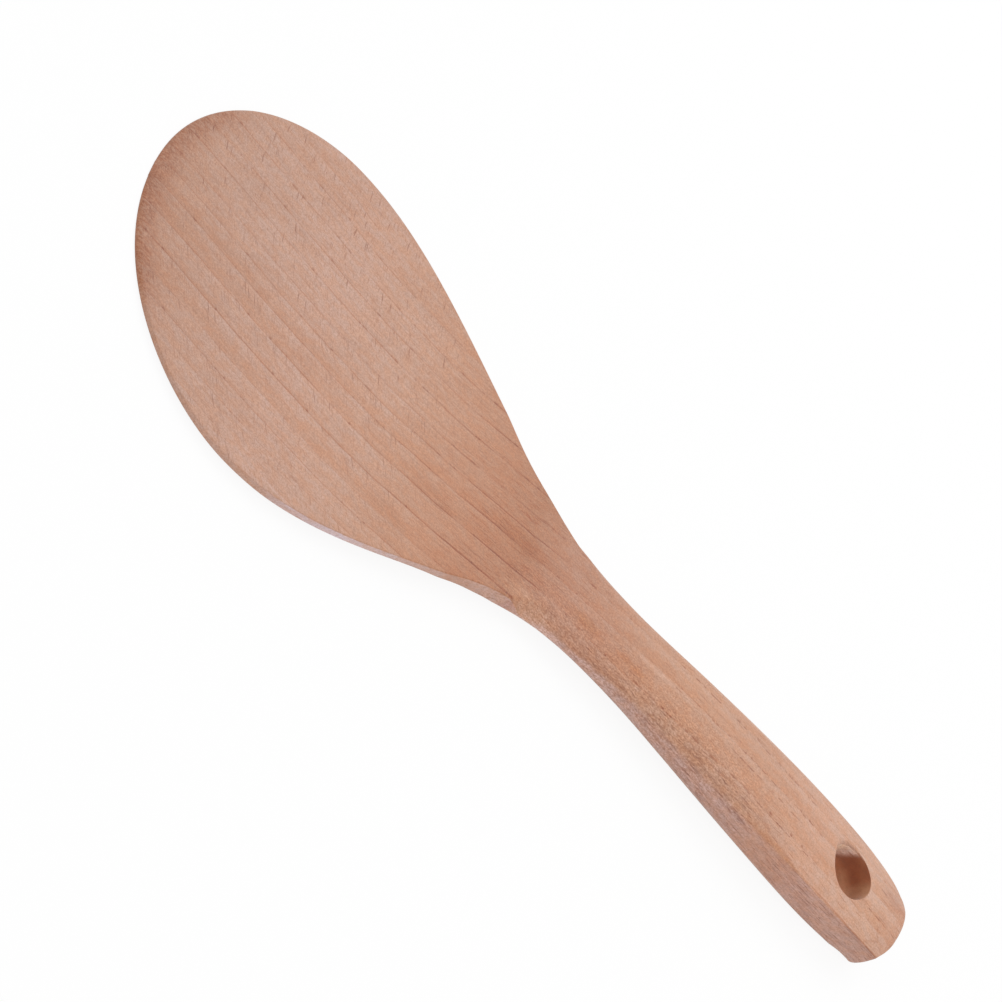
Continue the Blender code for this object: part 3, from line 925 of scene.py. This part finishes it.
colour = stained(lengthwise.outputs["Color"], ring_tint)
for stain, amount in (
    (late, line_strength), (BEAD, beads), (RAY, rays), (FAINT_RAY, faint_rays), (FINE_RAY, fine_rays),
    (DASH, dashes), (FLANK_DASH, flank_dashes), (PORE_ROW, rows), (FLANK_STREAK, flank_streaks),
    (FIBRE, fibres), (SHOULDER_FIBRE, short_fibres), (mixed(*GRAIN, grain), 1.0),
    (mixed(*PORES, pores), rough_neck), (mixed(*WARM_AND_COOL, hue), 1.0), (CLOUD, cloud),
):
    colour = stained(colour, stain, amount)

# The flanks are painted greyer, pinker and paler than the face, as a painted reflection of the
# white table they face. Each tint passes into the next one between two places along the length.
BLADE_SIDE_REFLECTION = (1.33, 1.78, 2.65, 1.0)
SIDE_REFLECTIONS = (
    ((1.20, 1.50, 2.0, 1.0), 142.0, 150.0),
    ((0.99, 1.09, 1.36, 1.0), 162.0, 205.0),
    ((0.93, 0.93, 1.04, 1.0), 245.0, 272.0),
)
# Painted shade on the near wall where it meets the shoulder's crease
SIDE_CREASE_SHADE = (0.86, 0.74, 0.74, 1.0)
side_on = step_between(calc("ABSOLUTE", facing.outputs["Y"]), 0.68, 0.98)
painted_side_reflection = product(side_on, step_between(x, 60.0, 90.0))
side_reflection = BLADE_SIDE_REFLECTION
for tint, start, end in SIDE_REFLECTIONS:
    side_reflection = mixed(side_reflection, tint, step_between(x, start, end))
colour = stained(colour, side_reflection, painted_side_reflection)
# Painted shade: the near wall darkens by the shoulder's crease
colour = stained(colour, SIDE_CREASE_SHADE, product(side_on, patch((147, -17.8), (4, 3))))
colour = stained(colour, THIN_TIP, thin_tip)

# Patches of another tone on the top: the middle and the reach of each, and its tint. Most are
# the wood's own tone; two are painted light, marked below.
TONE_AND_LIGHT_PATCHES = (
    ((140, -1), (13, 6), (0.95, 0.86, 0.74, 1.0)),
    ((140, 7.5), (3.5, 1.1), (0.86, 0.68, 0.56, 1.0)),
    # Painted light: lifts the chamfer below the near crease, which faces away from the lamps
    ((152, -15.2), (16, 5.0), (1.24, 1.42, 1.56, 1.0)),
    ((168, -5.0), (8, 2.2), (0.97, 0.87, 0.70, 1.0)),
    ((186, -5.2), (9, 1.8), (0.98, 0.86, 0.70, 1.0)),
    # Painted highlight: a pale streak along the middle of the grip's top
    ((192, -0.8), (10, 1.4), (1.13, 1.17, 1.21, 1.0)),
    ((250, -14.4), (15, 1.6), (0.98, 0.88, 0.76, 1.0)),
    ((295, 5.5), (7, 3.4), (0.88, 0.80, 0.75, 1.0)),
)
for at, reach, tint in TONE_AND_LIGHT_PATCHES:
    colour = stained(colour, tint, patch(at, reach))

# Two thin marks near the end meet in a point, and the near arris is dark along the end
MARK = (0.88, 0.79, 0.72, 1.0)
LONG_MARK = ((291.6, -5.9), (293.5, -9.2), 0.6)
SHORT_MARK = ((293.5, -9.2), (289.4, -12.3), 0.5)
ARRIS = (0.80, 0.64, 0.54, 1.0)
ARRIS_SLOPE = 0.0435
ARRIS_OFFSET = 25.6
marks = calc("MAXIMUM", scratch(*LONG_MARK), scratch(*SHORT_MARK))
colour = stained(colour, MARK, product(marks, step_between(fray, 0.35, 0.55, 0.3, 1.0)))
arris = calc("ABSOLUTE", calc("ADD", y, calc("MULTIPLY_ADD", x, -ARRIS_SLOPE, ARRIS_OFFSET)))
arris = product(step_between(arris, 0.4, 0.1), step_between(x, 262.0, 270.0))
arris = product(arris, step_between(x, 298.0, 294.0), step_between(face_up, 0.2, 0.4))
colour = stained(colour, ARRIS, arris)

# The bore is brown, partly from the drill and partly as painted shade inside the hole, and painted
# light makes it paler low down and on its end wall. Its worn rim towards the neck is painted as pale
# as the face, a painted light on its steep slope, above a plane that slants down into it.
BORE_BROWN_AND_SHADE = (156, 89, 52)
BORE_FRAY = ((0.75, 0.65, 0.55, 1.0), (1.15, 1.2, 1.22, 1.0))
DEEP_BORE_LIGHT = (1.9, 2.7, 3.7, 1.0)
BORE_END_LIGHT = (1.35, 1.6, 1.85, 1.0)
END_WALL_LIGHT = (1.12, 1.45, 1.8, 1.0)
# Painted light on the worn rim's steep slope
RIM_PAINTED_LIGHT = (1.56, 1.95, 2.05, 1.0)
WORN_SLANT = (-0.664, 0.692, 0.282)
WORN_BELOW = 13.8
BORE_REACH = 500 * HOLE_DIAMETER
bore = add("VectorMath", operation="DISTANCE")
feed(bore.inputs[0], place(x, y))
bore.inputs[1].default_value = (1000 * HOLE_AT, 1000 * HOLE_ACROSS, 0.0)
in_bore = step_between(bore.outputs["Value"], BORE_REACH + 2.4, BORE_REACH + 2.0)
in_bore = product(in_bore, step_between(face_up, 0.6, 0.42))
bore_x = calc("SUBTRACT", x, 1000 * HOLE_AT)
worn_from = calc("MULTIPLY_ADD", bore_x, WORN_SLANT[0], product(y, WORN_SLANT[1]))
worn_from = calc("MULTIPLY_ADD", calc("SUBTRACT", z, WORN_BELOW), WORN_SLANT[2], worn_from)
painted_rim_light = product(in_bore, step_between(worn_from, 3.1, 5.1))
in_bore = product(in_bore, calc("SUBTRACT", 1.0, painted_rim_light))
near_end = calc("MULTIPLY_ADD", bore_x, 0.5, product(y, -0.866))
lit_low_wall = product(step_between(z, 8.0, 4.0), step_between(bore_x, 1.5, 5.0))
lit_end_wall = product(step_between(bore_x, 5.0, 6.5), step_between(y, 4.2, 1.8))
# The bore's brown: the drill's own colour with painted shade inside the hole
bore_shade_and_light = stained(tone(*BORE_BROWN_AND_SHADE), mixed(*BORE_FRAY, fray))
# Painted light: the bore is paler low down, towards the end and on its end wall
bore_shade_and_light = stained(bore_shade_and_light, DEEP_BORE_LIGHT, step_between(z, 9.0, 3.5))
bore_shade_and_light = stained(bore_shade_and_light, BORE_END_LIGHT, step_between(near_end, -1.5, 5.0))
bore_shade_and_light = stained(bore_shade_and_light, END_WALL_LIGHT, calc("MAXIMUM", lit_low_wall, lit_end_wall))
# Painted light: the worn rim's steep slope is lightened as pale as the face
colour = stained(colour, RIM_PAINTED_LIGHT, painted_rim_light)
colour = mixed(colour, bore_shade_and_light, in_bore)
feed(bare_wood.inputs["Base Color"], colour)
bare_wood.inputs["Roughness"].default_value = 0.6
bare_wood.inputs["Specular IOR Level"].default_value = 0.5
bare_wood.inputs["Sheen Weight"].default_value = 0.25
bare_wood.inputs["Sheen Roughness"].default_value = 0.5

relief = add("Bump")
relief.inputs["Strength"].default_value = 0.4
relief.inputs["Distance"].default_value = 0.0001
sunk = calc("MULTIPLY", calc("ADD", rays, calc("ADD", dashes, flank_dashes)), 0.6)
feed(relief.inputs["Height"], calc("SUBTRACT", grain, sunk))
feed(bare_wood.inputs["Normal"], relief.outputs["Normal"])
body.data.materials.clear()
body.data.materials.append(beech)
